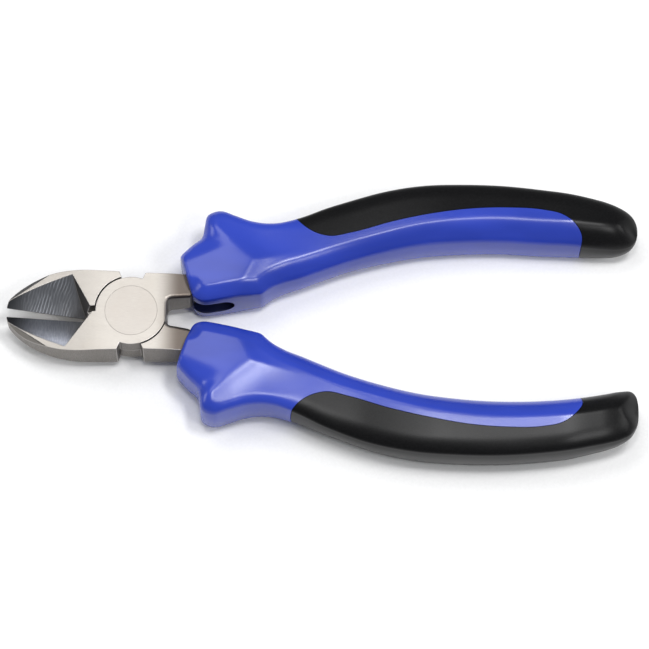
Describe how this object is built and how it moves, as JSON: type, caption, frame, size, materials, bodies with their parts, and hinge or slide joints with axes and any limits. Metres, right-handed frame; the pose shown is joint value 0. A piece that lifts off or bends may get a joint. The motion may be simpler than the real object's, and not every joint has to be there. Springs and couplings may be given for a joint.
{
  "type": "diagonal cutting nippers",
  "caption": "Hand nippers with two ground jaws that meet along a slanted edge, a riveted lap joint and curved two-material grips.",
  "frame": {"origin": "on the pivot axis, at the back face of the joint, which is also the rivet's back face", "axes": "+X from the pivot towards the handles, +Z along the pivot from the joint's back face to its front face, +Y towards the handle of the front lever"},
  "size_m": [0.1599, 0.0734, 0.017],
  "materials": {
    "lever_steel": "satin, finely brushed along the tool, with darker hollow-ground facets",
    "rivet_steel": "satin, ground flush with the joint",
    "grip_hard": "satin moulded blue plastic",
    "grip_soft": "matt black soft overmould"
  },
  "bodies": {
    "front_half": {"front_lever": "lever_steel", "pivot_rivet": "rivet_steel", "front_grip_shell": "grip_hard", "front_grip_overmold": "grip_soft"},
    "rear_half": {"rear_lever": "lever_steel", "rear_grip_shell": "grip_hard", "rear_grip_overmold": "grip_soft"}
  },
  "joints": [
    {"name": "pivot", "type": "hinge", "parent": "front_half", "child": "rear_half", "pos_m": [0, 0, 0.005], "axis": [0, 0, 1], "range_deg": [-33, 4]}
  ]
}
